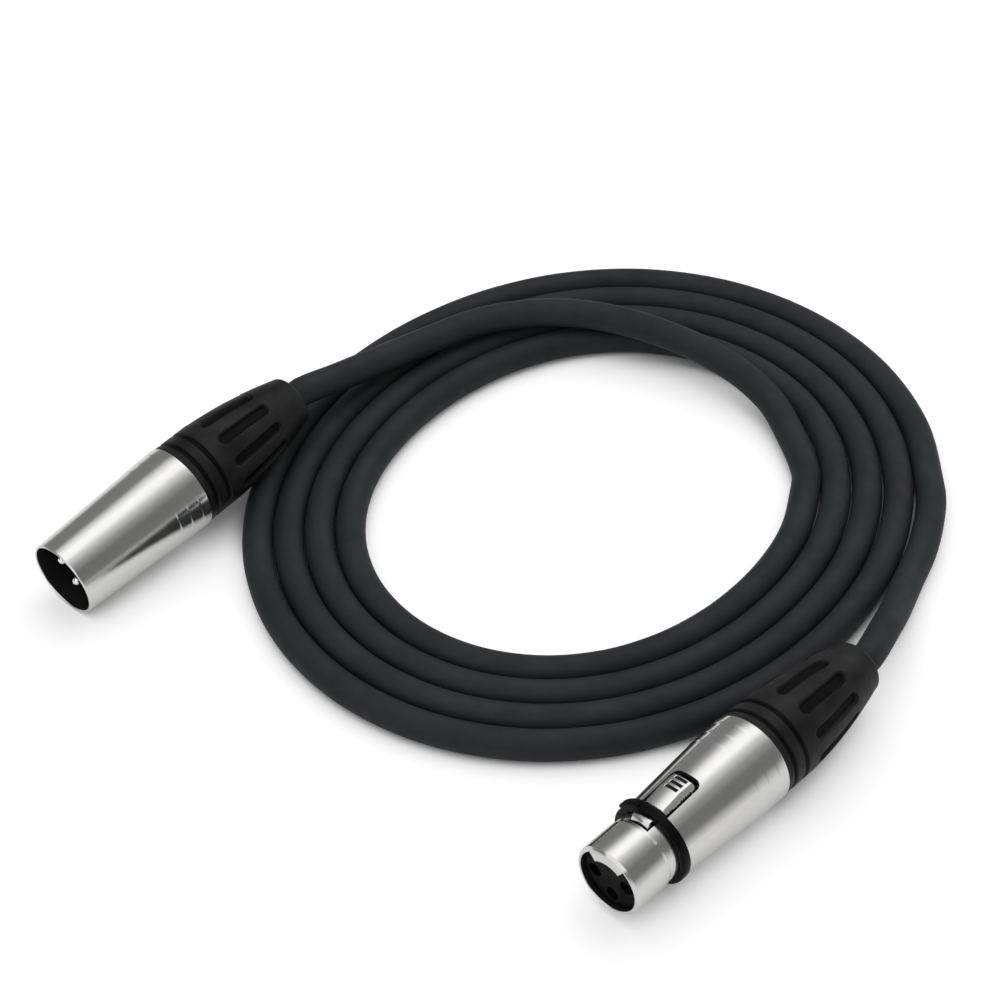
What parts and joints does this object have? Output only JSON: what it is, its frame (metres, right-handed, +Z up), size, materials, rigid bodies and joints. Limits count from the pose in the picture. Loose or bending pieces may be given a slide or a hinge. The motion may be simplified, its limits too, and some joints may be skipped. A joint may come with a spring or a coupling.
{
  "type": "xlr cable coil",
  "caption": "Microphone cable wound into a flat coil, with a male and a female round latching connector lying beside it.",
  "frame": {"origin": "centre of the two connectors' box, on the table", "axes": "+Z up, +X from the male connector to the female one, +Y from the connectors' mouths towards their boots"},
  "size_m": [0.1579, 0.181, 0.0223],
  "materials": {
    "shell_nickel": "satin nickel plate",
    "contact_metal": "bright plate",
    "insert_plastic": "black moulded",
    "ring_plastic": "black moulded",
    "boot_rubber": "charcoal moulded",
    "nut_plastic": "black moulded",
    "chuck_plastic": "natural moulded",
    "cable_jacket": "matte",
    "core_red": "smooth",
    "core_blue": "smooth",
    "shield_copper": "bare copper",
    "spring_steel": "bright"
  },
  "bodies": {
    "root": {"male_shell": "shell_nickel", "male_insert": "insert_plastic", "male_pin_1": "contact_metal", "male_pin_2": "contact_metal", "male_pin_3": "contact_metal", "male_ground_clip": "spring_steel", "male_chuck": "chuck_plastic", "male_gland_nut": "nut_plastic", "male_boot": "boot_rubber", "male_core_hot": "core_red", "male_core_cold": "core_blue", "male_shield_tail": "shield_copper", "male_cable_end": "cable_jacket", "female_shell": "shell_nickel", "female_insert": "insert_plastic", "female_socket_1": "contact_metal", "female_socket_2": "contact_metal", "female_socket_3": "contact_metal", "female_ground_clip": "spring_steel", "female_ring": "ring_plastic", "female_latch_pin": "spring_steel", "female_latch_spring": "spring_steel", "female_chuck": "chuck_plastic", "female_gland_nut": "nut_plastic", "female_boot": "boot_rubber", "female_core_hot": "core_red", "female_core_cold": "core_blue", "female_shield_tail": "shield_copper", "female_cable_end": "cable_jacket", "male_lead": "cable_jacket", "cable_coil": "cable_jacket", "female_lead": "cable_jacket"},
    "latch": {"female_latch": "shell_nickel"}
  },
  "joints": [
    {"name": "latch_press", "type": "hinge", "parent": "root", "child": "latch", "pos_m": [0.06753, -0.00288, 0.01647], "axis": [0.9875, -0.0207, 0.1564], "range_deg": [0, 4.2], "stiffness_Nm_per_rad": 0.1, "springref_deg": -5.73, "deforming": ["female_latch_spring"]}
  ]
}
